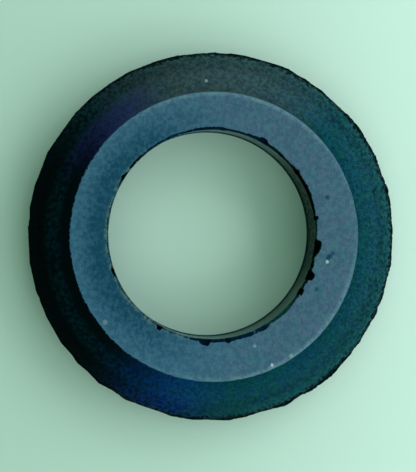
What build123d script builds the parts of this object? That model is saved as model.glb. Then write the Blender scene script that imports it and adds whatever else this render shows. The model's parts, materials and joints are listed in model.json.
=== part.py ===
from build123d import *

import os
from math import cos, degrees, radians, sin

# A moulded rubber fairlead: one solid ring, flat on both sides, with rounded bevels that run out
# to a parting line at mid-height. The frame is in millimetres. The origin is on the underside, on
# the axis of the outer form, with +Z up through the hole and +X towards the most torn side.

# Moulded form. The bevel's section is an arc that stands BEVEL_BULGE outside its own chord.
MOULDED_DIAMETER = 31.8
FLAT_DIAMETER = 25.0
BORE_DIAMETER = 18.0
THICKNESS = 4.6
LAND_HEIGHT = 0.36
BEVEL_BULGE = 0.3
FLAT_EDGE_RADIUS = 0.15

# The pin that formed the hole stood a little off the axis of the outer form.
BORE_CENTRE = (-0.2, 0.2)

# A thin web of flash came out at the parting line and was cut back by hand in short strokes, to
# about the trimmed diameter. Each corner between two strokes has its angle in degrees and how far
# it stands outside that diameter.
FLASH_THICKNESS = 0.16
FLASH_REACH = 0.5
TRIMMED_DIAMETER = 32.0
TRIM_CORNERS = [
    (2, 0.00), (5, -0.03), (10, 0.06), (15, 0.12), (20, -0.03), (26, 0.10), (36, 0.12), (41, 0.06),
    (46, -0.08), (53, 0.01), (56, -0.05), (59, 0.03), (62, -0.02), (65, 0.10), (68, 0.07),
    (72, -0.01), (79, 0.02), (84, 0.03), (86, -0.05), (89, 0.04), (94, -0.04), (101, 0.02),
    (108, -0.01), (117, 0.02), (124, -0.02), (131, -0.01), (138, 0.00), (147, -0.07), (153, 0.05),
    (157, -0.04), (164, 0.02), (171, 0.03), (174, -0.08), (177, 0.01), (188, 0.00), (197, 0.00),
    (206, -0.02), (215, 0.03), (219, -0.07), (223, 0.04), (227, -0.06), (232, 0.10), (237, -0.07),
    (242, 0.05), (248, -0.09), (253, -0.11), (257, 0.03), (264, 0.07), (268, -0.03), (275, 0.12),
    (281, 0.04), (285, -0.08), (294, 0.20), (299, -0.03), (303, 0.15), (311, 0.19), (317, 0.04),
    (320, 0.05), (322, -0.02), (324, 0.06), (330, -0.03), (335, 0.08), (337, -0.05), (340, 0.06),
    (345, -0.06), (351, 0.06),
]

# Along the hole's upper rim a thin lip of rubber has torn off. Each point has its angle in degrees
# and the width that is missing from the flat. On the far side the rim is whole: the outline of the
# tear runs inside the hole there and cuts nothing.
TEAR_DEPTH = 0.3
WHOLE_RIM = -0.2
TEAR_WIDTHS = [
    (-104, 0.05), (-99, 0.25), (-84, 0.34), (-74, 0.33), (-69, 0.40), (-65, 0.33), (-61, 0.42),
    (-57, 0.22), (-53, 0.28), (-45, 0.30), (-38, 0.22), (-30, 0.19), (-26, 0.24), (-16, 0.18),
    (-1, 0.12), (12, 0.16), (24, 0.29), (31, 0.24), (38, 0.27), (43, 0.15), (50, 0.21), (58, 0.28),
    (66, 0.30), (73, 0.22), (78, 0.20), (84, 0.28), (93, 0.30), (102, 0.21), (112, 0.28),
    (118, 0.21), (124, 0.27), (130, 0.22), (139, 0.28), (144, 0.14), (148, 0.27), (154, 0.08),
    (162, WHOLE_RIM), (185, WHOLE_RIM), (210, WHOLE_RIM), (235, WHOLE_RIM), (248, WHOLE_RIM),
]

# Deeper bites out of the same rim: where the bite starts, where it reaches furthest, where it ends,
# in degrees, and how far it goes into the flat.
NICK_DEPTH = 0.55
NICK_TIP_WIDTH = 0.14
NICKS = [
    (-2.0, -5.5, -15.5, 0.50), (-19.0, -22.7, -26.0, 0.58), (-30.5, -32.7, -35.0, 0.37),
    (-79.0, -81.5, -84.0, 0.44), (-88.5, -94.0, -100.0, 0.60), (-118.0, -120.0, -121.5, 0.54),
    (-157.0, -159.5, -162.0, 0.30), (66.0, 61.5, 56.5, 0.48), (10.5, 9.0, 7.5, 0.35),
    (38.0, 36.0, 34.0, 0.34),
]


def polar(radius, angle, centre=(0.0, 0.0)):
    turn = radians(angle)
    return (centre[0] + radius * cos(turn), centre[1] + radius * sin(turn))


def moulded_disc():
    """The form as it left the mould, without its hole: half of the section turned about the axis."""
    flat_radius = FLAT_DIAMETER / 2
    land_radius = MOULDED_DIAMETER / 2
    flash_radius = land_radius + FLASH_REACH
    land_low = (THICKNESS - LAND_HEIGHT) / 2
    land_high = (THICKNESS + LAND_HEIGHT) / 2
    flash_low = (THICKNESS - FLASH_THICKNESS) / 2
    flash_high = (THICKNESS + FLASH_THICKNESS) / 2
    flash = [
        (land_radius, land_low),
        (land_radius, flash_low),
        (flash_radius, flash_low),
        (flash_radius, flash_high),
        (land_radius, flash_high),
        (land_radius, land_high),
    ]
    with BuildPart() as disc:
        with BuildSketch(Plane.XZ) as section:
            with BuildLine():
                Line((0, 0), (flat_radius, 0))
                SagittaArc((flat_radius, 0), (land_radius, land_low), -BEVEL_BULGE)
                Polyline(*flash)
                SagittaArc((land_radius, land_high), (flat_radius, THICKNESS), -BEVEL_BULGE)
                Polyline((flat_radius, THICKNESS), (0, THICKNESS), (0, 0))
            make_face()
            edges_of_flats = section.vertices().filter_by(
                lambda v: abs(v.X - flat_radius) < FLAT_EDGE_RADIUS
            )
            fillet(edges_of_flats, FLAT_EDGE_RADIUS)
        revolve(axis=Axis.Z)
    return disc.part


def trimmed_outline():
    """A prism through the corners that the hand trimming left."""
    corners = [polar(TRIMMED_DIAMETER / 2 + step, angle) for angle, step in TRIM_CORNERS]
    with BuildPart() as prism:
        with BuildSketch():
            with BuildLine():
                Polyline(*corners, close=True)
            make_face()
        extrude(amount=THICKNESS)
    return prism.part


def bore():
    with BuildPart() as hole:
        with Locations(BORE_CENTRE):
            Cylinder(
                BORE_DIAMETER / 2,
                THICKNESS,
                align=(Align.CENTER, Align.CENTER, Align.MIN),
            )
    return hole.part


def torn_lip():
    """What tore off along the upper rim, as a shallow plug with a wavy outline."""
    rim = BORE_DIAMETER / 2
    outline = [polar(rim + width, angle, BORE_CENTRE) for angle, width in TEAR_WIDTHS]
    with BuildPart() as plug:
        with BuildSketch(Plane.XY.offset(THICKNESS - TEAR_DEPTH)):
            with BuildLine():
                Spline(*outline, periodic=True)
            make_face()
        extrude(amount=2 * TEAR_DEPTH)
    return plug.part


def nick(start, tip, end, reach):
    """One bite out of the rim: a wedge with a blunt tip, open towards the hole."""
    rim = BORE_DIAMETER / 2
    inside = rim - reach
    blunt = degrees(NICK_TIP_WIDTH / 2 / rim)
    if end < start:
        blunt = -blunt
    corners = [
        polar(inside, start, BORE_CENTRE),
        polar(rim, start, BORE_CENTRE),
        polar(rim + reach, tip - blunt, BORE_CENTRE),
        polar(rim + reach, tip + blunt, BORE_CENTRE),
        polar(rim, end, BORE_CENTRE),
        polar(inside, end, BORE_CENTRE),
    ]
    with BuildPart() as bite:
        with BuildSketch(Plane.XY.offset(THICKNESS - NICK_DEPTH)):
            with BuildLine():
                Polyline(*corners, close=True)
            make_face()
        extrude(amount=2 * NICK_DEPTH)
    return bite.part


def fairlead_ring():
    ring = moulded_disc() & trimmed_outline()
    ring = ring - bore()
    ring = ring - torn_lip()
    for bite in NICKS:
        ring = ring - nick(*bite)
    return ring


os.makedirs("parts", exist_ok=True)
export_step(fairlead_ring(), "parts/fairlead_ring.step")
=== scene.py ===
import json
from bisect import bisect_right
from math import atan2, cos, degrees, pi, radians, sin, sqrt

import bmesh
import bpy
import numpy as np
from mathutils import Color, Matrix, Vector, noise


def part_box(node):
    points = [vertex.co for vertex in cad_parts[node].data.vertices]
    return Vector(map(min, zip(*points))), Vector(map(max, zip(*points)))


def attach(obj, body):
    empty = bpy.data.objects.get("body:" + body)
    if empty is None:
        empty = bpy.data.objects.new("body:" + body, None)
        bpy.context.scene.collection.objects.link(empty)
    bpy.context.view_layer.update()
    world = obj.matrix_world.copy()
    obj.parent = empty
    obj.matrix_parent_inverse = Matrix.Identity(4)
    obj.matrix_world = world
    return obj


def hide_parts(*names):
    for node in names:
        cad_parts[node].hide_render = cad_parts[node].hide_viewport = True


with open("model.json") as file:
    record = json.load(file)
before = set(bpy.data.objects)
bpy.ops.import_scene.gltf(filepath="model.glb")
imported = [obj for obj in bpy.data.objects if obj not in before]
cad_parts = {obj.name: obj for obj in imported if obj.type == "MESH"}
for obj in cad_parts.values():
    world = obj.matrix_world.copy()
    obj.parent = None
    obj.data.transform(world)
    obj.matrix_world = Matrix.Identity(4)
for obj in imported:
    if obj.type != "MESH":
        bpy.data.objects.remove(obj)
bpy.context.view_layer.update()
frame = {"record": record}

bl_info = {
    "name": "Rubber fairlead",
    "version": (1, 0, 0),
    "blender": (4, 5, 0),
    "location": "3D View > Sidebar > Fairlead",
    "description": "Models a moulded rubber fairlead with a torn rim and a hand-trimmed edge",
    "category": "Add Mesh",
}

# Lengths are in metres where no comment says millimetres. Places less than TINY apart are the same
# place, and a vertex that has been moved may be out by ROUNDING.
MM = 0.001
TINY = 0.0001 * MM
ROUNDING = 0.001 * MM
NODE = "fairlead_ring"
LOW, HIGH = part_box(NODE)
BORE = next(mount for mount in frame["record"]["mounts"] if mount["name"] == "bore")
BORE_CENTRE = Vector(BORE["pos_m"]).xy

# Flash at the parting line was cut back by hand in short strokes. Each corner between two strokes
# has its angle in degrees and how many millimetres it stands outside the trimmed diameter.
TRIM_CORNERS = [
    (2, 0.00), (5, -0.03), (10, 0.06), (15, 0.12), (20, -0.03), (26, 0.10), (36, 0.12), (41, 0.06),
    (46, -0.08), (53, 0.01), (56, -0.05), (59, 0.03), (62, -0.02), (65, 0.10), (68, 0.07),
    (72, -0.01), (79, 0.02), (84, 0.03), (86, -0.05), (89, 0.04), (94, -0.04), (101, 0.02),
    (108, -0.01), (117, 0.02), (124, -0.02), (131, -0.01), (138, 0.00), (147, -0.07), (153, 0.05),
    (157, -0.04), (164, 0.02), (171, 0.03), (174, -0.08), (177, 0.01), (188, 0.00), (197, 0.00),
    (206, -0.02), (215, 0.03), (219, -0.07), (223, 0.04), (227, -0.06), (232, 0.10), (237, -0.07),
    (242, 0.05), (248, -0.09), (253, -0.11), (257, 0.03), (264, 0.07), (268, -0.03), (275, 0.12),
    (281, 0.04), (285, -0.08), (294, 0.20), (299, -0.03), (303, 0.15), (311, 0.19), (317, 0.04),
    (320, 0.05), (322, -0.02), (324, 0.06), (330, -0.03), (335, 0.08), (337, -0.05), (340, 0.06),
    (345, -0.06), (351, 0.06),
]

# Along the hole's upper rim a thin lip tore loose: the angle in degrees, and how many millimetres the
# tear reaches out from the hole.
TEAR_WIDTHS = [
    (-180, 0.16), (-172, 0.20), (-162, 0.24), (-150, 0.28), (-135, 0.16), (-120, 0.26), (-108, 0.20),
    (-99, 0.26), (-84, 0.34), (-74, 0.33), (-69, 0.40), (-65, 0.33), (-61, 0.42), (-57, 0.22),
    (-53, 0.28), (-45, 0.30), (-38, 0.22), (-30, 0.19), (-26, 0.24), (-16, 0.18), (-1, 0.12),
    (12, 0.16), (24, 0.29), (31, 0.24), (38, 0.27), (43, 0.15), (50, 0.21), (58, 0.28), (66, 0.30),
    (73, 0.22), (78, 0.20), (84, 0.28), (93, 0.30), (102, 0.21), (112, 0.28), (118, 0.21),
    (124, 0.27), (130, 0.22), (139, 0.28), (144, 0.14), (148, 0.27), (156, 0.14), (174, 0.22),
    (180, 0.16),
]

# How deep the tear is at an angle in degrees, as a share of its full depth
TEAR_OPENING = [
    (-180, 0.25), (-165, 0.10), (-150, 0.20), (-135, 0.08), (-120, 0.25), (-106, 0.15), (-99, 0.90),
    (-69, 1.00), (-67, 0.30), (-65, 1.00), (-61, 1.00), (-58, 0.35), (-38, 0.35), (-34, 0.70),
    (-28, 0.60), (-18, 0.80), (-3, 0.80), (0, 0.35), (8, 0.35), (14, 1.00), (36, 1.00), (42, 0.60),
    (52, 0.70), (60, 1.00), (72, 0.90), (78, 0.60), (84, 0.80), (96, 1.00), (108, 0.38),
    (113, 0.55), (128, 0.40), (140, 0.60), (151, 0.35), (158, 0.10), (172, 0.25), (180, 0.25),
]

# How much of a lip still stands between the tear and the hole, at an angle in degrees
LIP_LEFT = [
    (-180, 1.00), (-110, 0.95), (-100, 0.85), (-64, 0.75), (-55, 0.30), (-45, 0.00), (50, 0.00),
    (58, 0.50), (70, 0.80), (110, 0.85), (150, 1.00), (180, 1.00),
]

# Deeper bites out of that rim: where each starts, the two ends of its blunt tip and where it ends, in
# degrees, then its reach in millimetres.
NICKS = [
    (-18.5, -6.4, -4.2, -1.8, 0.50), (-26.8, -24.0, -22.0, -18.4, 0.58),
    (-35.2, -34.0, -31.6, -30.4, 0.36), (-84.0, -82.2, -80.8, -79.0, 0.44),
    (-101.5, -94.4, -92.8, -89.6, 0.60), (-123.0, -120.4, -119.6, -117.2, 0.45),
    (-167.0, -161.0, -159.0, -154.0, 0.26), (56.5, 60.5, 62.5, 66.0, 0.46),
    (7.5, 8.3, 9.7, 10.5, 0.33), (34.0, 35.2, 36.8, 38.0, 0.34), (145.0, 146.3, 147.7, 149.0, 0.30),
]

# How finely the ring is divided. Columns stand every half degree, so that each corner of the
# trimmed edge falls on one. Loops stand closest where the rim is torn, which is down the wall for
# WALL_TOP and out over the flat for TORN_ZONE.
COLUMNS = 720
WALL_LOOPS = 3
WALL_TOP = 0.9 * MM
WALL_TOP_LOOPS = 9
TORN_ZONE = 0.72 * MM
TORN_LOOPS = 16
FLAT_LOOPS = 7
BEVEL_LOOPS = 14
CREASE_SEGMENTS = 3

# The rounding between flat and bevel starts at this share of its radius from the edge
CREASE_START = 0.5

# How far the flash stands out before it is trimmed, and how deep the knife's notches are after that
FLASH_REACH = 0.4 * MM
FRAY_DEPTH = 0.12 * MM

# Patterns that make the edges uneven: the size of the lumps in millimetres, and a number that sets
# each pattern apart. The fractal they share has an increment, a gap between octaves and their count.
FRAYED_EDGE = (0.22, 5)
COARSE_TEAR = (0.35, 1)
FINE_TEAR = (0.12, 7)
TORN_FLOOR = (0.4, 3)
FRACTAL = (0.8, 2.0, 3)

# How the rim tore, in millimetres: how far the patterns move the tear's border, how wide its slope
# is, how wide the lip is that still stands, with its slope, and the reach of a bite beside it.
RAGGED_BORDER = 0.045
TEAR_SLOPE = 0.07
LIP_WIDTH = 0.12
LIP_SLOPE = 0.08
OUTSIDE_NICK = -0.2

# How uneven the tear's floor is, as a share of its depth. Torn rubber starts to look fresh at one
# share of the full depth and does so fully at another, above a share of the wall's top.
ROUGH_FLOOR = 0.3
FRESH_START = 0.1875
FRESH_FULL = 0.8125
FRESH_CLIMB = 0.5

# Edges that turn by more than this many degrees stay sharp
SHARP_ANGLE = 30

# Directions in which the finish varies: to the thinnest bloom, which is also painted shade, to
# the side where shade is painted on the bevel and the flats, and to the greyer film
THIN_PAINTED_SHADE_SIDE = Vector((-1.0, 0.05))
PAINTED_SHADE_SIDE = Vector((-0.98, -0.17))
FILM_DIRECTION = Vector((-0.03, 1.0))

# Patterns in the finish: the size of the lumps in millimetres, then the noise's detail and its
# roughness. The levels of the noise are those at which a pattern starts and at which it is full.
PATCHES = (0.6, 2.0, 0.5)
PATCH_LEVELS = (0.42, 0.58)
MOTTLES = (0.34, 2.0, 0.55)
MOTTLE_LEVELS = (0.34, 0.66)
CLOUDS = (0.8, 2.0, 0.55)
CLOUD_LEVELS = (0.4, 0.6)
LUMPS = (0.34, 2.5, 0.6)
GRAIN_LEVELS = (0.3, 0.7)
GLINT_LEVELS = (0.3, 0.75)
FINE_LUMPS = (0.2, 2.0, 0.6)
FINE_LEVELS = (0.38, 0.62)

# Layers of the finish. A zone is in millimetres from the place that the material names beside it,
# and a side runs from 1 in its direction to -1 opposite. Both say where a layer starts and where it
# is full, and with four numbers also where it fades and where it ends. An amount is a share of the
# layer, or one share for the dark and one for the light parts of its pattern.

# Bloom on the flats. Lumps move its border by BLOOM_RAGGED, which is more on the shaded side.
BLOOM_DEPTH = (0.08, 0.01)
BLOOM_ZONE = (0.03, -0.06)
BLOOM_RAGGED = (0.18, 0.38)
BLOOM_RAGGED_SIDE = (0.2, 0.8)
# Painted shade: the bloom is bluer and lighter on the shaded side, in place of the light there
PAINTED_SHADE_BLOOM_SIDE = (-0.7, 1.0)
# Thinner bloom and painted shade: the film is darker on one side and towards the hole
WORN_PAINTED_SHADE_ZONE = (4.1, 0.7)
WORN_PAINTED_SHADE_SIDE = (-0.25, 1.0)
WORN_PAINTED_SHADE_AMOUNT = 0.8
MOTTLED_AMOUNT = 0.4
# Dust and a painted highlight along the hole's rim, on the side painted in shade
RIM_DUST_HIGHLIGHT_ZONE = (0.5, 0.15)
RIM_DUST_HIGHLIGHT_SIDE = (0.2, 0.8)
RIM_DUST_HIGHLIGHT_AMOUNT = 0.75
# Wear and a painted highlight on the crease, strongest away from the painted shade
RUBBED_HIGHLIGHT_ZONE = (-0.5, -0.1)
RUBBED_HIGHLIGHT_SIDE = (-1.15, -0.7, -0.2, 0.9)
RUBBED_HIGHLIGHT_AMOUNT = (0.35, 1.0)

# Colours of the bevels. The grain moves their dark border by BORDER_RAGGED.
CLEAN_SIDE = (-0.4, -0.95)
# Painted half shade: a bluer tone where the light gives way to the painted shade
PAINTED_HALF_SHADE_SIDE = (0.05, 0.5, 0.65, 0.85)
PAINTED_HALF_SHADE_AMOUNT = (0.5, 1.0)
# Duller rubber towards the edge, painted lighter on the side towards the light in place of its sheen
OUTER_ZONE = (1.5, 0.4)
OUTER_PAINTED_LIGHT_SIDE = (0.45, -0.1)
# Dark grain specks: fewer away from the film as painted light, more on the shaded side as painted shade
SPECK_AMOUNT = 0.6
PAINTED_LIGHT_SPECK_LOSS = 0.4
PAINTED_SHADE_SPECK_GAIN = 0.5
PAINTED_SHADE_SPECK_SIDE = (0.2, 0.6)
# A greyer film on one side of the bevel
FILM_SIDE = (0.62, 1.1)
FILM_AMOUNT = (0.3, 0.7)
FILM_THIN_ZONE = (1.8, 0.8)
FILM_THIN_AMOUNT = 0.6
# Painted sheen: a violet streak where the film gives way to the painted shade
VIOLET_ZONE = (1.0, 2.2)
VIOLET_FILM_SIDE = (0.2, 0.6)
VIOLET_SHADED_SIDE = (0.1, 0.45, 0.75, 0.95)
VIOLET_AMOUNT = (0.28, 0.8)
BORDER_ZONE = (0.34, 0.08)
BORDER_RAGGED = (-0.15, 0.15)
# Painted reflection: a faint lighter band across the painted shade
REFLECTION_BAND_START_ZONE = (0.6, 1.2)
REFLECTION_BAND_END_ZONE = (1.0, 1.7)
REFLECTION_BAND_AMOUNT = (0.1, 0.5)
# Painted shade: one side of the bevel is all but black
BLACK_SIDE = (0.42, 0.9)
# Painted glints in the grain on the shaded side
GLINT_SIDE = (0.0, 0.6)
GLINT_BAND_SIDE = (0.5, 0.8)
GLINT_AMOUNT = 0.16

# The hole, the tear and the half of the ring that is in view
HOLE_ZONE = (0.8, 0.7)
# Painted light: the tear is lighter towards two opposite sides
PAINTED_LIT_TEAR_SIDE = (0.7, 0.95)
PAINTED_LIT_TEAR_AMOUNT = 0.7
UPPER_ZONE = (-0.15, 0.0)

# How dull the clean rubber is: towards the edge, in its fine pattern, between the specks of its
# grain, in the shade, and on the wall where it faces the light
DULL_EDGE_ZONE = (2.0, 0.7)
DULL_EDGE_AMOUNT = 0.4
DULL_FINE_AMOUNT = 0.3
DULL_SPECK_AMOUNT = 0.4
DULL_SHADED_SIDE = (0.2, 0.8)
DULL_SHADED_AMOUNT = 0.9
DULL_WALL_SIDE = (-0.7, -0.93)
DULL_WALL_AMOUNT = (0.8, 0.35)

# Lint and smudges on the upper face: x, y and radius in millimetres, and an amount. Lumps move a
# spot's border by SPOT_RAGGED, and its core is a share of its radius.
LINT = [
    (-0.72, 13.43, 0.18, 0.5), (9.78, -2.18, 0.20, 0.9), (4.98, -11.12, 0.22, 1.0),
    (6.64, -10.30, 0.26, 0.35), (3.44, -9.42, 0.20, 0.4), (-9.47, -7.30, 0.28, 0.3),
]
SMUDGES = [
    (10.02, -1.66, 0.34, 0.9), (9.84, -1.88, 0.24, 0.9), (10.28, -1.46, 0.28, 0.7),
    (8.84, -4.53, 0.26, 0.8), (9.82, 3.40, 0.34, 0.8),
]
SPOT_RAGGED = 0.25
SPOT_CORE = 0.3

# The floor lies just under the ring, so that the two faces don't meet
FLOOR_SIZE = 2.0
FLOOR_DROP = 0.02 * MM
FLOOR_ROUGHNESS = 0.9
FLOOR_SPECULAR = 0.1

# Soft lamps: azimuth and elevation in degrees, distance, width and height in metres, and how bright
# the face of the lamp would look, where 1 is white.
SOFTBOXES = {
    "right_softbox": (8, 27, 0.10, 0.15, 0.07, 2.9),
    "upper_softbox": (70, 27, 0.13, 0.13, 0.08, 2.0),
    "lower_softbox": (-66, 27, 0.13, 0.13, 0.08, 2.4),
    "overhead_softbox": (200, 85, 0.80, 1.20, 1.20, 0.27),
}

# The camera looks down almost along the hole, with +Y up in its view. Its lens is in millimetres.
CAMERA_PLACE = Vector((-23.883, 3.113, 205.45)) * MM
CAMERA_AIM = Vector((-0.338, 0.046, 2.3)) * MM
CAMERA_LENS = 179.2
CAMERA_CLIP = 10 * MM
VIEW_UP = Vector((0, 1, 0))


def linear(red, green, painted_half_shade):
    """A colour as it looks on screen, from 0 to 255, as the linear values that a shader takes."""
    shown = Color((red / 255, green / 255, painted_half_shade / 255))
    return tuple(shown.from_srgb_to_scene_linear())


def length(name, description, default):
    return bpy.props.FloatProperty(
        name=name,
        description=description,
        default=default,
        min=0.0,
        precision=5,
        unit="LENGTH",
        subtype="DISTANCE",
    )


def share(name, description, default):
    return bpy.props.FloatProperty(
        name=name,
        description=description,
        default=default,
        min=0.0,
        max=1.0,
        subtype="FACTOR",
    )


def colour(name, description, default):
    return bpy.props.FloatVectorProperty(
        name=name,
        description=description,
        default=default,
        size=3,
        min=0.0,
        max=1.0,
        subtype="COLOR",
    )


class FairleadSizes(bpy.types.PropertyGroup):
    thickness: length("Thickness", "From one flat face to the other", HIGH.z - LOW.z)
    bore_diameter: length("Bore", "Diameter of the hole", 2 * BORE["dims"]["r_mm"] * MM)
    flat_diameter: length("Flat", "Outer diameter of each flat face", 25.0 * MM)
    moulded_diameter: length("Moulded edge", "Diameter at the parting line", 31.8 * MM)
    trimmed_diameter: length("Trimmed edge", "Diameter that the flash was cut back to", 32.0 * MM)
    land_height: length("Land", "Height of the blunt edge at the parting line", 0.36 * MM)
    flash_thickness: length("Flash", "Thickness of the web at the parting line", 0.16 * MM)
    bevel_bulge: length("Bevel bulge", "How far the bevel's arc stands off its chord", 0.3 * MM)
    flat_edge_radius: length("Flat edge", "Radius between flat and bevel", 0.15 * MM)
    tear_depth: length("Tear depth", "Depth of the torn lip", 0.3 * MM)
    nick_depth: length("Nick depth", "Depth of the bites in the rim", 0.55 * MM)
    burr_reach: length("Burr", "How far the burr at the hole's foot stands in", 0.1 * MM)


class FairleadFinish(bpy.types.PropertyGroup):
    bloom: colour("Bloom", "Chalky film on the flat faces", linear(69, 104, 122))
    grey_bloom: colour("Grey bloom", "The film's other shade, in patches", linear(76, 99, 125))
    # Painted shade: the bloom's tint on the shaded side
    painted_shade_bloom: colour("Cold bloom", "The film on the side away from the light", linear(68, 112, 142))
    # Also painted as shade on one side of the flats
    thin_bloom_painted_shade: colour("Thin bloom", "The same film where it is thin", linear(24, 70, 96))
    # Wear on the crease with a painted highlight
    crease: colour("Crease", "Rubbed edge of the flat faces", linear(96, 130, 148))
    rubber: colour("Rubber", "Clean rubber of the bevels", linear(0, 33, 57))
    green_rubber: colour("Green rubber", "The rubber's other shade, in clouds", linear(0, 42, 43))
    dark_rubber: colour("Dark rubber", "Rubber between the specks of its grain", linear(0, 8, 14))
    # Painted half shade on the bevel
    painted_half_shade_blue: colour("Blue rubber", "Rubber where light leaves the bevel", linear(2, 28, 104))
    # Painted lighter on the side towards the light only, in place of the sheen
    outer: colour("Outer bevel", "Duller rubber towards the trimmed edge", linear(10, 62, 68))
    # Dust with a painted highlight where the rim catches the light
    rim_dust_and_highlight: colour("Rim dust", "Dust along the hole's rim on one side", linear(90, 116, 112))
    plain_rubber: colour("Plain rubber", "Rubber of the lower half, out of sight", linear(6, 24, 29))
    # Painted glints
    painted_glint: colour("Glint", "Specks of the grain that catch light on the shaded bevel", linear(8, 58, 74))
    # Painted sheen
    painted_violet_sheen: colour("Violet rubber", "The streak where dust gives way to shade", linear(36, 12, 88))
    # A greyer, lighter film on one side of the bevel
    film: colour("Film", "Thin dust on one side of the bevel", linear(72, 74, 75))
    # Greener than the bevels: partly the rubber, partly a painted reflection of the floor
    wall: colour("Wall", "Rubber in the hole", linear(0, 52, 38))
    dark_wall: colour("Dark wall", "Rubber in the hole, between the specks", linear(0, 22, 17))
    # Also painted over one side of the bevel as shade
    torn: colour("Torn rubber", "Fresh rubber where the rim tore", linear(0, 3, 6))
    # Painted light on the tear
    painted_lit_tear: colour("Lit tear", "The torn rubber on the sides that catch light", linear(8, 54, 98))
    smudge: colour("Smudge", "Dark smudges on the upper face", linear(14, 62, 84))
    lint: colour("Lint", "Pale specks on the upper face", linear(166, 184, 192))
    sheen: colour("Sheen", "Colour that the rubber gives its highlights", (0.0, 0.72, 1.0))
    shine: share("Shine", "Strength of the clean rubber's highlights", 0.46)
    roughness: share("Roughness", "Of the clean rubber", 0.45)
    wall_roughness: share("Wall roughness", "Of the smooth rubber in the hole", 0.22)
    matt_sheen: colour("Matt sheen", "Colour that bloom and dust give the highlights", (0.5, 1.0, 1.0))
    matt_shine: share("Matt shine", "Strength of the highlights on bloom and dust", 0.03)
    matt_roughness: share("Matt roughness", "Of bloom, dust and torn rubber", 0.85)
    grain_depth: length("Grain", "Depth of the rubber's fine grain", 0.05 * MM)


class FairleadStage(bpy.types.PropertyGroup):
    floor: colour("Floor", "Plain pale floor", linear(194, 222, 215))
    softboxes: share("Softboxes", "Strength of the soft lamps", 1.0)
    fill: share("Fill", "Strength of the light from all round", 0.28)
    fill_colour: colour("Fill colour", "Colour of the light from all round", (0.44, 1.0, 0.56))


# The section of the ring, as points of radius and height in metres


def arc(start, end, bulge, steps):
    """Points on an arc from start to end that stands bulge to the left of its chord, without start."""
    a = Vector(start)
    b = Vector(end)
    chord = b - a
    left = Vector((-chord.y, chord.x)).normalized()
    radius = (chord.length ** 2 / 4 + bulge ** 2) / (2 * bulge)
    centre = (a + b) / 2 - left * (radius - bulge)
    first = atan2(a.y - centre.y, a.x - centre.x)
    last = atan2(b.y - centre.y, b.x - centre.x)
    turns = [first + (last - first) * step / steps for step in range(1, steps + 1)]
    return [(centre.x + radius * cos(turn), centre.y + radius * sin(turn)) for turn in turns]


def steps_between(start, end, count):
    """Evenly spaced values from start to end, without start."""
    return [start + (end - start) * step / count for step in range(1, count + 1)]


def upper_half(sizes):
    """From the middle of the hole's wall, up over the flat and down the bevel to the flash."""
    top = sizes.thickness / 2
    bore = sizes.bore_diameter / 2
    flat = sizes.flat_diameter / 2
    land = sizes.moulded_diameter / 2
    flash = sizes.trimmed_diameter / 2 + FLASH_REACH
    heights = steps_between(0, top - WALL_TOP, WALL_LOOPS)
    heights += steps_between(top - WALL_TOP, top, WALL_TOP_LOOPS)
    wall = [(bore, height) for height in heights]
    rim = [(radius, top) for radius in steps_between(bore, bore + TORN_ZONE, TORN_LOOPS)]
    face = [(radius, top) for radius in steps_between(bore + TORN_ZONE, flat, FLAT_LOOPS)]
    bevel = arc((flat, top), (land, sizes.land_height / 2), sizes.bevel_bulge, BEVEL_LOOPS)
    edge = [(land, sizes.flash_thickness / 2), (flash, sizes.flash_thickness / 2)]
    return wall + rim + face + bevel + edge


def section(sizes):
    """The whole closed outline: the upper half, then the same points mirrored, back to the start."""
    upper = upper_half(sizes)
    lower = [(radius, -height) for radius, height in reversed(upper)]
    middle = (sizes.bore_diameter / 2, 0.0)
    lift = sizes.thickness / 2
    return [(radius, height + lift) for radius, height in [middle] + upper + lower + [middle]]


# Steps of modelling, as by hand in edit mode


def deselect_all():
    if bpy.context.object and bpy.context.object.mode != "OBJECT":
        bpy.ops.object.mode_set(mode="OBJECT")
    bpy.ops.object.select_all(action="DESELECT")


def draw_outline(name, points):
    """A new object whose edges run through the points, extruded from one to the next."""
    deselect_all()
    bpy.ops.mesh.primitive_plane_add(size=MM, location=(points[0][0], 0, points[0][1]))
    piece = bpy.context.object
    piece.name = name
    bpy.ops.object.transform_apply(location=True)
    bpy.ops.object.mode_set(mode="EDIT")
    bpy.ops.mesh.select_all(action="SELECT")
    bpy.ops.mesh.merge(type="CENTER")
    for (radius, height), (next_radius, next_height) in zip(points, points[1:]):
        move = (next_radius - radius, 0, next_height - height)
        bpy.ops.mesh.extrude_region_move(TRANSFORM_OT_translate={"value": move})
    bpy.ops.object.mode_set(mode="OBJECT")
    return piece


def turn_on_lathe(piece, columns):
    """Turns the outline once round the axis and closes it."""
    lathe = piece.modifiers.new("lathe", "SCREW")
    lathe.axis = "Z"
    lathe.angle = 2 * pi
    lathe.steps = columns
    lathe.render_steps = columns
    bpy.ops.object.modifier_apply(modifier=lathe.name)
    bpy.ops.object.mode_set(mode="EDIT")
    bpy.ops.mesh.select_all(action="SELECT")
    bpy.ops.mesh.remove_doubles(threshold=TINY)
    bpy.ops.mesh.normals_make_consistent(inside=False)
    bpy.ops.object.mode_set(mode="OBJECT")


def select_vertices(piece, chosen):
    """Selects the vertices whose place passes the test, and stays in edit mode."""
    bpy.ops.object.mode_set(mode="EDIT")
    bpy.ops.mesh.select_mode(type="VERT")
    bpy.ops.mesh.select_all(action="DESELECT")
    mesh = bmesh.from_edit_mesh(piece.data)
    for vertex in mesh.verts:
        if chosen(vertex.co):
            vertex.select_set(True)
    mesh.select_flush_mode()
    bmesh.update_edit_mesh(piece.data)


def select_faces(piece, chosen):
    """Selects the faces whose middle passes the test, in edit mode."""
    mesh = bmesh.from_edit_mesh(piece.data)
    for face in mesh.faces:
        face.select_set(chosen(face.calc_center_median()))
    bmesh.update_edit_mesh(piece.data)


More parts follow.
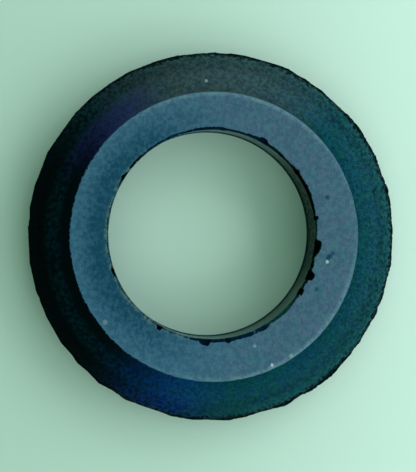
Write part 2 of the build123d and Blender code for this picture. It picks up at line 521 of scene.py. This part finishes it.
def round_crease(piece, sizes, height):
    """Rounds the edge between a flat face and its bevel."""
    flat = sizes.flat_diameter / 2

    def on_crease(place):
        return abs(place.xy.length - flat) < TINY and abs(place.z - height) < TINY

    select_vertices(piece, on_crease)
    bpy.ops.mesh.bevel(offset=CREASE_START * sizes.flat_edge_radius, segments=CREASE_SEGMENTS)
    bpy.ops.object.mode_set(mode="OBJECT")


def knife_strokes(sizes):
    """Each straight stroke from one corner of the trimmed edge to the next: start and direction out."""
    corners = []
    for angle, step in TRIM_CORNERS:
        radius = sizes.trimmed_diameter / 2 + step * MM
        corners.append(Vector((radius * cos(radians(angle)), radius * sin(radians(angle)), 0)))
    following = corners[1:] + corners[:1]
    return [(a, Vector((b.y - a.y, a.x - b.x, 0)).normalized()) for a, b in zip(corners, following)]


def stroke_over(place):
    """Which stroke passes over or beside a place."""
    angle = degrees(atan2(place.y, place.x)) % 360
    return bisect_right([corner[0] for corner in TRIM_CORNERS], angle) - 1


def middle_of_bevel(sizes):
    """The radius halfway across the bevel. The knife reaches only what lies outside it."""
    return (sizes.flat_diameter + sizes.moulded_diameter) / 4


def trim_flash(piece, sizes):
    """Trims the flash with straight strokes of a knife, then closes the cut."""
    strokes = knife_strokes(sizes)
    inner = middle_of_bevel(sizes)
    bpy.ops.object.mode_set(mode="EDIT")
    bpy.ops.mesh.select_mode(type="FACE")
    mesh = bmesh.from_edit_mesh(piece.data)
    under = [[] for stroke in strokes]
    for face in mesh.faces:
        place = face.calc_center_median()
        if place.xy.length > inner:
            under[stroke_over(place)].append(face)
    for (start, outward), faces in zip(strokes, under):
        bpy.ops.mesh.select_all(action="DESELECT")
        for face in faces:
            face.select_set(True)
        bpy.ops.mesh.bisect(plane_co=start, plane_no=outward, threshold=TINY)

    def cut_off(place):
        start, outward = strokes[stroke_over(place)]
        return place.xy.length > inner and (place - start).dot(outward) > 0

    select_faces(piece, cut_off)
    bpy.ops.mesh.delete(type="FACE")
    bpy.ops.mesh.select_mode(type="EDGE")
    bpy.ops.mesh.select_all(action="DESELECT")
    bpy.ops.mesh.select_non_manifold()
    bpy.ops.mesh.bridge_edge_loops()
    bpy.ops.mesh.select_all(action="SELECT")
    bpy.ops.mesh.normals_make_consistent(inside=False)
    bpy.ops.object.mode_set(mode="OBJECT")


def push_by_weight(piece, name, weights, strength, direction):
    """Moves vertices by their weights, as with a soft brush."""
    group = piece.vertex_groups.new(name=name)
    for index, weight in weights.items():
        group.add([index], weight, "REPLACE")
    push = piece.modifiers.new(name, "DISPLACE")
    push.direction = direction
    push.mid_level = 0.0
    push.strength = strength
    push.vertex_group = group.name
    bpy.ops.object.modifier_apply(modifier=push.name)
    piece.vertex_groups.clear()


def fray_edge(piece, sizes):
    """Small notches that the knife left in the trimmed edge."""
    strokes = knife_strokes(sizes)
    inner = middle_of_bevel(sizes)
    weights = {}
    for index, place in enumerate([vertex.co.copy() for vertex in piece.data.vertices]):
        start, outward = strokes[stroke_over(place)]
        if place.xy.length > inner and abs((place - start).dot(outward)) < TINY:
            weights[index] = max(0.0, ragged(place, *FRAYED_EDGE))
    push_by_weight(piece, "frayed", weights, -FRAY_DEPTH, "NORMAL")


def centre_bore(piece, sizes):
    """Moves the hole off the axis of the outer form, and eases that out across the flats."""
    zone = sizes.bore_diameter / 2 + TORN_ZONE
    flat = sizes.flat_diameter / 2
    bpy.ops.object.mode_set(mode="EDIT")
    mesh = bmesh.from_edit_mesh(piece.data)
    radii = [vertex.co.xy.length for vertex in mesh.verts]
    on_flat = [radius for radius in radii if radius < flat - sizes.flat_edge_radius]
    loops = sorted({round(radius / TINY) for radius in on_flat})
    for loop in loops:
        radius = loop * TINY
        eased = min(1.0, max(0.0, (flat - radius) / (flat - zone)))
        bpy.ops.mesh.select_all(action="DESELECT")
        for vertex, vertex_radius in zip(mesh.verts, radii):
            if round(vertex_radius / TINY) == loop:
                vertex.select_set(True)
        mesh.select_flush_mode()
        move = (BORE_CENTRE.x * eased, BORE_CENTRE.y * eased, 0)
        bpy.ops.transform.translate(value=move)
    bpy.ops.object.mode_set(mode="OBJECT")


def raise_burr(piece, sizes):
    """A small burr that the mould left round the foot of the hole."""
    bore = sizes.bore_diameter / 2
    pull = 1 - sizes.burr_reach / bore

    def on_foot(place):
        return place.z < TINY and abs((place.xy - BORE_CENTRE).length - bore) < ROUNDING

    select_vertices(piece, on_foot)
    foot = (BORE_CENTRE.x, BORE_CENTRE.y, 0)
    bpy.ops.transform.resize(value=(pull, pull, 1), center_override=foot)
    bpy.ops.object.mode_set(mode="OBJECT")


def along(points, angle):
    """The value at an angle in degrees, on straight lines between the points."""
    return float(np.interp(angle, [point[0] for point in points], [point[1] for point in points]))


def ease(value):
    """0 up to 0 and 1 from 1 on, smooth between them."""
    clipped = min(1.0, max(0.0, value))
    return clipped * clipped * (3 - 2 * clipped)


def nick_reach(angle):
    """How far the bites reach out from the hole at an angle. Outside every bite it is below zero."""
    reaches = [OUTSIDE_NICK]
    for start, tip_start, tip_end, end, reach in NICKS:
        inside = ease((angle - start) / (tip_start - start)) * ease((end - angle) / (end - tip_end))
        reaches.append(OUTSIDE_NICK + (reach - OUTSIDE_NICK) * inside)
    return max(reaches)


def ragged(place, size, seed):
    """An uneven pattern, from about -1 to 1, in lumps of about the given size in millimetres."""
    return noise.fractal(place / (size * MM) + Vector((seed, seed, seed)), *FRACTAL)


def torn_at(place, sizes):
    """How deep the rubber has torn at a point of the upper flat, and how much of it is fresh."""
    from_bore = place.xy - BORE_CENTRE
    angle = degrees(atan2(from_bore.y, from_bore.x))
    out_from_rim = (from_bore.length - sizes.bore_diameter / 2) / MM
    edge = RAGGED_BORDER * (ragged(place, *COARSE_TEAR) + ragged(place, *FINE_TEAR))
    rough = 1 + ROUGH_FLOOR * ragged(place, *TORN_FLOOR)
    opening = min(1.0, max(0.0, along(TEAR_OPENING, angle) * rough))
    lip = along(LIP_LEFT, angle) * ease((LIP_WIDTH - edge - out_from_rim) / LIP_SLOPE)
    in_tear = opening * ease((along(TEAR_WIDTHS, angle) + edge - out_from_rim) / TEAR_SLOPE)
    in_nick = ease((nick_reach(angle) + edge - out_from_rim) / TEAR_SLOPE)
    depth = sizes.tear_depth * in_tear
    depth = (depth + (sizes.nick_depth - depth) * in_nick) * (1 - lip)
    fresh_tear = ease((in_tear - FRESH_START) / (FRESH_FULL - FRESH_START))
    return depth, max(fresh_tear, sqrt(in_nick)) * (1 - lip)


def tear_rim(piece, sizes):
    """Lets the torn lip and the bites down into the upper flat."""
    places = [vertex.co.copy() for vertex in piece.data.vertices]
    wall_foot = sizes.thickness - WALL_TOP
    torn_radius = sizes.bore_diameter / 2 + TORN_ZONE
    fresh = [0.0] * len(places)
    weights = {}
    for index, place in enumerate(places):
        by_the_rim = (place.xy - BORE_CENTRE).length < torn_radius
        if by_the_rim and place.z > wall_foot + TINY:
            depth, fresh[index] = torn_at(Vector((place.x, place.y, sizes.thickness)), sizes)
            climbed = (place.z - wall_foot) / WALL_TOP
            fresh[index] *= ease((climbed - FRESH_CLIMB) / (1 - FRESH_CLIMB))
            if depth > 0:
                weights[index] = climbed * depth / sizes.nick_depth
    push_by_weight(piece, "torn depth", weights, -sizes.nick_depth, "Z")
    torn = piece.data.attributes.new("torn", "FLOAT", "POINT")
    torn.data.foreach_set("value", fresh)


# Materials

# The sockets of a Mix node for colours, by number, because several of them share a name
MIX_FACTOR = 0
MIX_FIRST = 6
MIX_SECOND = 7
MIX_RESULT = 2


class Value:
    """A number, vector or colour on its way through a material. Arithmetic on it adds nodes."""

    def __init__(self, recipe, socket):
        self.recipe = recipe
        self.socket = socket

    def math(self, operation, *values):
        inputs = dict(enumerate(values))
        made = self.recipe.node("ShaderNodeMath", {"operation": operation}, inputs)
        return Value(self.recipe, made.outputs[0])

    def __add__(self, other):
        return self.math("ADD", self, other)

    def __radd__(self, other):
        return self.math("ADD", other, self)

    def __sub__(self, other):
        return self.math("SUBTRACT", self, other)

    def __rsub__(self, other):
        return self.math("SUBTRACT", other, self)

    def __mul__(self, other):
        return self.math("MULTIPLY", self, other)

    def __rmul__(self, other):
        return self.math("MULTIPLY", other, self)

    def __truediv__(self, other):
        return self.math("DIVIDE", self, other)

    def __pow__(self, other):
        return self.math("POWER", self, other)

    def __abs__(self):
        return self.math("ABSOLUTE", self)

    def lesser(self, other):
        return self.math("MINIMUM", self, other)

    def greater(self, other):
        return self.math("MAXIMUM", self, other)

    def rise(self, start, end):
        """0 up to start and 1 from end on, smooth between them. End may be below start."""
        settings = {"interpolation_type": "SMOOTHSTEP"}
        if end > start:
            inputs = {"Value": self, "From Min": start, "From Max": end}
            made = self.recipe.node("ShaderNodeMapRange", settings, inputs)
            return Value(self.recipe, made.outputs["Result"])
        return 1 - self.rise(end, start)

    def band(self, start, full, fading, end):
        """1 from full to fading, easing to 0 at start and at end."""
        return self.rise(start, full) * self.rise(end, fading)

    def between(self, low, high):
        """Low where the value is 0 and high where it is 1."""
        return low + (high - low) * self


class Recipe:
    """A material under construction."""

    def __init__(self, name):
        self.material = bpy.data.materials.new(name)
        self.material.use_nodes = True
        self.tree = self.material.node_tree
        self.tree.nodes.clear()

    def node(self, kind, settings=None, inputs=None):
        """Adds a node: its settings first, then what goes into its sockets, by name or number."""
        made = self.tree.nodes.new(kind)
        for name, setting in (settings or {}).items():
            setattr(made, name, setting)
        for name, value in (inputs or {}).items():
            if isinstance(value, Value):
                self.tree.links.new(value.socket, made.inputs[name])
            else:
                made.inputs[name].default_value = value
        return made

    def value(self, kind, settings, inputs, output):
        return Value(self, self.node(kind, settings, inputs).outputs[output])

    def place(self):
        """The point of the surface in the part's frame, in millimetres."""
        coordinates = self.node("ShaderNodeTexCoord")
        point = Value(self, coordinates.outputs["Object"])
        return self.value("ShaderNodeVectorMath", {"operation": "SCALE"}, {0: point, "Scale": 1 / MM}, 0)

    def parts(self, vector):
        split = self.node("ShaderNodeSeparateXYZ", None, {0: vector})
        return [Value(self, socket) for socket in split.outputs]

    def distance(self, vector, point):
        settings = {"operation": "DISTANCE"}
        return self.value("ShaderNodeVectorMath", settings, {0: vector, 1: point}, "Value")

    def noise(self, vector, lump, detail, rough):
        """Noise from 0 to 1, in lumps of about the given size in millimetres."""
        inputs = {"Vector": vector, "Scale": 1 / lump, "Detail": detail, "Roughness": rough}
        return self.value("ShaderNodeTexNoise", {"noise_dimensions": "3D"}, inputs, "Fac")

    def mix(self, factor, first, second):
        """The first colour where the factor is 0, and the second where it is 1."""
        first, second = (end if isinstance(end, Value) else (*end, 1) for end in (first, second))
        inputs = {MIX_FACTOR: factor, MIX_FIRST: first, MIX_SECOND: second}
        return self.value("ShaderNodeMix", {"data_type": "RGBA"}, inputs, MIX_RESULT)

    def flattened(self, vector):
        """The same place at height nought."""
        settings = {"operation": "MULTIPLY"}
        return self.value("ShaderNodeVectorMath", settings, {0: vector, 1: (1.0, 1.0, 0.0)}, 0)

    def bump(self, height, depth):
        """The normal over a height from 0 to 1 that stands for the given depth."""
        return self.value("ShaderNodeBump", None, {"Height": height, "Distance": depth}, "Normal")

    def principled(self, base, roughness, specular, tint, normal):
        inputs = {
            "Base Color": base,
            "Roughness": roughness,
            "Specular IOR Level": specular,
            "Specular Tint": (*tint, 1),
            "Normal": normal,
        }
        return self.value("ShaderNodeBsdfPrincipled", None, inputs, 0)

    def finish(self, shader):
        output = self.node("ShaderNodeOutputMaterial")
        self.tree.links.new(shader.socket, output.inputs["Surface"])
        return self.material


class Surface:
    """Where on the ring a point of the rubber is, as values for the layers of the finish.

    Distances are in millimetres. Each side runs from 1 in its direction, over 0 a quarter turn away,
    to -1 opposite.
    """

    def __init__(self, recipe, sizes):
        top = sizes.thickness / MM
        bore = sizes.bore_diameter / 2 / MM
        self.point = recipe.place()
        x, y, height = recipe.parts(self.point)
        radius = (x * x + y * y) ** 0.5
        self.outside_hole = radius - bore
        self.outside_flat = radius - sizes.flat_diameter / 2 / MM
        self.inside_edge = sizes.moulded_diameter / 2 / MM - radius

        def towards(side):
            return (x * side.x + y * side.y) / radius

        # Sides along which painted shade, painted light and the greyer film are laid on
        self.thin_painted_shadeward = towards(THIN_PAINTED_SHADE_SIDE)
        self.painted_shadeward = towards(PAINTED_SHADE_SIDE)
        self.filmward = towards(FILM_DIRECTION)

        # The hole stands off the axis, so its true rim has a distance of its own
        self.flattened = recipe.flattened(self.point)
        rim_centre = (BORE_CENTRE.x / MM, BORE_CENTRE.y / MM, 0.0)
        self.outside_rim = recipe.distance(self.flattened, rim_centre) - bore

        self.lumps = recipe.noise(self.point, *LUMPS)
        self.grain = self.lumps.rise(*GRAIN_LEVELS)
        self.upper = (height - top / 2).rise(*UPPER_ZONE)
        self.in_hole = self.outside_hole.rise(*HOLE_ZONE)
        near_a_face = (top - height).rise(*BLOOM_DEPTH) + height.rise(*BLOOM_DEPTH)
        ragged_by = self.painted_shadeward.rise(*BLOOM_RAGGED_SIDE).between(*BLOOM_RAGGED)
        border = self.outside_flat + ragged_by * (self.lumps - 0.5)
        self.on_faces = border.rise(*BLOOM_ZONE) * near_a_face


def face_colour(recipe, finish, at):
    """The chalky bloom of the flat faces: thinner and in painted shade on one side, with dust and a
    painted highlight at the rim, and wear and a painted highlight at the edge.
    """
    patches = recipe.noise(at.point, *PATCHES).rise(*PATCH_LEVELS)
    mottled = recipe.noise(at.point, *MOTTLES).rise(*MOTTLE_LEVELS)
    face = recipe.mix(patches, finish.bloom, finish.grey_bloom)
    # Painted shade: a bluer bloom on the shaded side
    face = recipe.mix(at.painted_shadeward.rise(*PAINTED_SHADE_BLOOM_SIDE), face, finish.painted_shade_bloom)
    # Thinner film and painted shade, darker on one side and towards the hole
    worn_and_painted_shade = at.outside_hole.rise(*WORN_PAINTED_SHADE_ZONE) * at.thin_painted_shadeward.rise(*WORN_PAINTED_SHADE_SIDE)
    thinner_with_painted_shade = WORN_PAINTED_SHADE_AMOUNT * worn_and_painted_shade + MOTTLED_AMOUNT * (1 - mottled)
    face = recipe.mix(thinner_with_painted_shade, face, finish.thin_bloom_painted_shade)
    # Dust and a painted highlight along the rim on one side
    dusty_and_highlit = at.outside_rim.rise(*RIM_DUST_HIGHLIGHT_ZONE) * at.painted_shadeward.rise(*RIM_DUST_HIGHLIGHT_SIDE)
    face = recipe.mix(RIM_DUST_HIGHLIGHT_AMOUNT * dusty_and_highlit * mottled, face, finish.rim_dust_and_highlight)
    # Wear and a painted highlight on the crease, on the side towards the light only
    rubbed_and_highlit = at.outside_flat.rise(*RUBBED_HIGHLIGHT_ZONE) * at.painted_shadeward.band(*RUBBED_HIGHLIGHT_SIDE)
    return recipe.mix(rubbed_and_highlit * mottled.between(*RUBBED_HIGHLIGHT_AMOUNT), face, finish.crease)


def clean_bevel(recipe, finish, at):
    """The rubber of the bevels in clouds of two shades, with painted half shade in a bluer tone, a
    duller edge painted lighter towards the light, and grain specks whose amount paints light and shade.
    """
    clouds = recipe.noise(at.point, *CLOUDS).rise(*CLOUD_LEVELS)
    bevel = recipe.mix(clouds, finish.rubber, finish.green_rubber)
    clean = at.filmward.rise(*CLEAN_SIDE)
    # Painted half shade: a bluer tone where the light gives way to shade
    painted_half_shade = at.painted_shadeward.band(*PAINTED_HALF_SHADE_SIDE) * clean
    bevel = recipe.mix(painted_half_shade * clouds.between(*PAINTED_HALF_SHADE_AMOUNT), bevel, finish.painted_half_shade_blue)
    # Duller rubber near the edge, painted lighter on the side towards the light only
    outer = at.inside_edge.rise(*OUTER_ZONE) * at.painted_shadeward.rise(*OUTER_PAINTED_LIGHT_SIDE)
    bevel = recipe.mix(outer, bevel, finish.outer)
    # Grain specks, fewer away from the film as painted light and more on the shaded side as painted shade
    painted_shade_specks = PAINTED_SHADE_SPECK_GAIN * at.painted_shadeward.rise(*PAINTED_SHADE_SPECK_SIDE)
    specks = (1 - at.grain) * (SPECK_AMOUNT - PAINTED_LIGHT_SPECK_LOSS * clean + painted_shade_specks)
    return recipe.mix(specks, bevel, finish.dark_rubber)


def film_and_painted_sheen_bevel(recipe, finish, at, bevel):
    """A greyer film on one side, with a painted violet sheen where it gives way to the painted shade."""
    # A greyer film on one side
    film = at.filmward.rise(*FILM_SIDE) * at.grain.between(*FILM_AMOUNT)
    film = film * at.inside_edge.rise(*FILM_THIN_ZONE).between(1.0, FILM_THIN_AMOUNT)
    bevel = recipe.mix(film, bevel, finish.film)
    # Painted sheen: a violet streak between the film and the painted shade
    streak = at.inside_edge.rise(*VIOLET_ZONE) * at.filmward.rise(*VIOLET_FILM_SIDE)
    streak = streak * at.painted_shadeward.band(*VIOLET_SHADED_SIDE)
    return recipe.mix(streak * at.grain.between(*VIOLET_AMOUNT), bevel, finish.painted_violet_sheen)


def painted_shade_bevel(recipe, finish, at, bevel):
    """A dark ragged border, painted shade that makes one side all but black, and a faint painted
    reflection with painted glints there.
    """
    border = (at.inside_edge + at.grain.between(*BORDER_RAGGED)).rise(*BORDER_ZONE)
    # Painted reflection: a faint lighter band in the painted shade
    painted_reflection_band = at.outside_flat.rise(*REFLECTION_BAND_START_ZONE) * at.inside_edge.rise(*REFLECTION_BAND_END_ZONE)
    # Painted shade in the torn rubber's near-black, broken by the painted reflection band
    black = at.painted_shadeward.rise(*BLACK_SIDE) * (1 - painted_reflection_band * at.grain.between(*REFLECTION_BAND_AMOUNT))
    bevel = recipe.mix(border.greater(black), bevel, finish.torn)
    glinting = painted_reflection_band.greater(1 - at.painted_shadeward.rise(*GLINT_BAND_SIDE))
    # Painted glints in the grain on the shaded side
    glints = at.lumps.rise(*GLINT_LEVELS) * at.painted_shadeward.rise(*GLINT_SIDE) * glinting
    return recipe.mix(GLINT_AMOUNT * glints * (1 - border), bevel, finish.painted_glint)


def spotted(recipe, at, ground, spots, spot_colour):
    """A colour, the ground, with round spots whose border is uneven."""
    for x, y, size, amount in spots:
        away = recipe.distance(at.flattened, (x, y, 0.0)) + SPOT_RAGGED * (at.lumps - 0.5)
        spot = amount * away.rise(size, SPOT_CORE * size) * at.upper
        ground = recipe.mix(spot, ground, spot_colour)
    return ground


def rubber_colour(recipe, finish, at, torn):
    """The wall of the hole, the bevels and the flats, then spots, then the tear over all of them."""
    bevel = clean_bevel(recipe, finish, at)
    bevel = film_and_painted_sheen_bevel(recipe, finish, at, bevel)
    bevel = painted_shade_bevel(recipe, finish, at, bevel)
    bevel = recipe.mix(at.upper, finish.plain_rubber, bevel)
    # The wall's green is partly a painted reflection of the floor
    wall = recipe.mix(at.grain, finish.dark_wall, finish.wall)
    rubber = recipe.mix(at.in_hole, bevel, wall)
    rubber = recipe.mix(at.on_faces, rubber, face_colour(recipe, finish, at))
    rubber = spotted(recipe, at, rubber, SMUDGES, finish.smudge)
    rubber = spotted(recipe, at, rubber, LINT, finish.lint)
    # Painted light: the tear is lighter towards two opposite sides
    painted_tear_light = PAINTED_LIT_TEAR_AMOUNT * abs(at.filmward).rise(*PAINTED_LIT_TEAR_SIDE)
    return recipe.mix(torn, rubber, recipe.mix(painted_tear_light, finish.torn, finish.painted_lit_tear))


def dullness(at, fine, torn):
    """How matt the rubber is, from 0 where it is clean to 1 on the bloom and in the tear."""
    at_edge = at.inside_edge.rise(*DULL_EDGE_ZONE) * DULL_EDGE_AMOUNT
    fine_specks = DULL_FINE_AMOUNT * fine.rise(*FINE_LEVELS)
    bevel = at_edge + fine_specks + DULL_SPECK_AMOUNT * (1 - at.grain)
    in_shade = DULL_SHADED_AMOUNT * at.painted_shadeward.rise(*DULL_SHADED_SIDE)
    bevel = bevel.greater(in_shade).lesser(1.0)
    wall = at.painted_shadeward.rise(*DULL_WALL_SIDE) * at.grain.between(*DULL_WALL_AMOUNT)
    bare = bevel * (1 - at.in_hole) + wall * at.in_hole
    return at.on_faces.greater(bare).greater(torn)


def moulded_rubber(finish, sizes):
    """Matt black rubber: a chalky bloom on the flats, clean bevels and fresh torn edges."""
    recipe = Recipe("moulded_rubber")
    at = Surface(recipe, sizes)
    torn = recipe.value("ShaderNodeAttribute", {"attribute_name": "torn"}, None, "Fac")
    fine = recipe.noise(at.point, *FINE_LUMPS)
    rubber = rubber_colour(recipe, finish, at, torn)
    normal = recipe.bump(fine, finish.grain_depth)
    roughness = at.in_hole.between(finish.roughness, finish.wall_roughness)
    clean = recipe.principled(rubber, roughness, finish.shine, finish.sheen, normal)
    matt = recipe.principled(
        rubber, finish.matt_roughness, finish.matt_shine, finish.matt_sheen, normal
    )
    inputs = {0: dullness(at, fine, torn), 1: clean, 2: matt}
    return recipe.finish(recipe.value("ShaderNodeMixShader", None, inputs, 0))


def pale_floor(stage):
    """The plain material of the floor."""
    recipe = Recipe("pale_floor")
    inputs = {
        "Base Color": (*stage.floor, 1),
        "Roughness": FLOOR_ROUGHNESS,
        "Specular IOR Level": FLOOR_SPECULAR,
    }
    return recipe.finish(recipe.value("ShaderNodeBsdfPrincipled", None, inputs, 0))


# The stage


def lay_floor(stage):
    """A plain floor, wide enough to fill the view."""
    deselect_all()
    bpy.ops.mesh.primitive_plane_add(size=FLOOR_SIZE, location=(0, 0, -FLOOR_DROP))
    floor = bpy.context.object
    floor.name = "floor"
    bpy.ops.object.transform_apply(location=True)
    floor.data.materials.append(pale_floor(stage))


def hang_softbox(name, stage):
    """A soft lamp that faces the part, from its azimuth, elevation and distance."""
    azimuth, elevation, distance, width, height, brightness = SOFTBOXES[name]
    turn = radians(azimuth)
    climb = radians(elevation)
    direction = Vector((cos(climb) * cos(turn), cos(climb) * sin(turn), sin(climb)))
    bpy.ops.object.light_add(type="AREA", location=direction * distance)
    lamp = bpy.context.object
    lamp.name = name
    lamp.visible_camera = False
    lamp.data.shape = "RECTANGLE"
    lamp.data.size = width
    lamp.data.size_y = height
    lamp.data.energy = stage.softboxes * brightness * pi * width * height
    lamp.rotation_euler = direction.to_track_quat("Z", "Y").to_euler()


def light_all_round(scene, stage):
    """Weak light from every side, as pale walls throw back."""
    world = bpy.data.worlds.new("room")
    scene.world = world
    world.use_nodes = True
    background = world.node_tree.nodes["Background"]
    background.inputs["Color"].default_value = (*stage.fill_colour, 1)
    background.inputs["Strength"].default_value = stage.fill


def aim_camera(scene):
    """The camera at its place, turned to its aim, with VIEW_UP upright."""
    bpy.ops.object.camera_add(location=CAMERA_PLACE)
    camera = bpy.context.object
    camera.name = "camera"
    camera.data.lens = CAMERA_LENS
    camera.data.clip_start = CAMERA_CLIP
    ahead = (CAMERA_AIM - CAMERA_PLACE).normalized()
    right = ahead.cross(VIEW_UP).normalized()
    above = right.cross(ahead)
    turned = Matrix((right, above, -ahead)).transposed()
    camera.rotation_euler = turned.to_euler()
    scene.camera = camera


# Operators


class FAIRLEAD_OT_ring(bpy.types.Operator):
    """Models the moulded ring, with its torn rim and trimmed edge"""

    bl_idname = "fairlead.ring"
    bl_label = "Moulded ring"

    def execute(self, context):
        sizes = context.scene.fairlead_sizes
        finish = context.scene.fairlead_finish
        ring = draw_outline("moulded_ring", section(sizes))
        turn_on_lathe(ring, COLUMNS)
        trim_flash(ring, sizes)
        fray_edge(ring, sizes)
        round_crease(ring, sizes, 0.0)
        round_crease(ring, sizes, sizes.thickness)
        centre_bore(ring, sizes)
        raise_burr(ring, sizes)
        tear_rim(ring, sizes)
        bpy.ops.object.shade_smooth_by_angle(angle=radians(SHARP_ANGLE))
        ring.data.materials.append(moulded_rubber(finish, sizes))
        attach(ring, "root")
        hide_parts(NODE)
        return {"FINISHED"}


class FAIRLEAD_OT_stage(bpy.types.Operator):
    """Sets the floor, the lamps and the camera"""

    bl_idname = "fairlead.stage"
    bl_label = "Stage"

    def execute(self, context):
        stage = context.scene.fairlead_stage
        lay_floor(stage)
        for name in SOFTBOXES:
            hang_softbox(name, stage)
        light_all_round(context.scene, stage)
        aim_camera(context.scene)
        return {"FINISHED"}


class FAIRLEAD_PT_panel(bpy.types.Panel):
    """The fairlead's sizes, finish and stage"""

    bl_label = "Fairlead"
    bl_idname = "FAIRLEAD_PT_panel"
    bl_space_type = "VIEW_3D"
    bl_region_type = "UI"
    bl_category = "Fairlead"

    def draw(self, context):
        for group in ("fairlead_sizes", "fairlead_finish", "fairlead_stage"):
            settings = getattr(context.scene, group)
            box = self.layout.box()
            for name in settings.__annotations__:
                box.prop(settings, name)
        self.layout.operator("fairlead.ring")
        self.layout.operator("fairlead.stage")


CLASSES = (
    FairleadSizes,
    FairleadFinish,
    FairleadStage,
    FAIRLEAD_OT_ring,
    FAIRLEAD_OT_stage,
    FAIRLEAD_PT_panel,
)


def register():
    for made in CLASSES:
        bpy.utils.register_class(made)
    bpy.types.Scene.fairlead_sizes = bpy.props.PointerProperty(type=FairleadSizes)
    bpy.types.Scene.fairlead_finish = bpy.props.PointerProperty(type=FairleadFinish)
    bpy.types.Scene.fairlead_stage = bpy.props.PointerProperty(type=FairleadStage)


def unregister():
    del bpy.types.Scene.fairlead_stage
    del bpy.types.Scene.fairlead_finish
    del bpy.types.Scene.fairlead_sizes
    for made in reversed(CLASSES):
        bpy.utils.unregister_class(made)


def main():
    register()
    bpy.ops.fairlead.ring()
    bpy.ops.fairlead.stage()
    bpy.context.scene.view_settings.view_transform = "Standard"


if __name__ == "__main__":
    main()
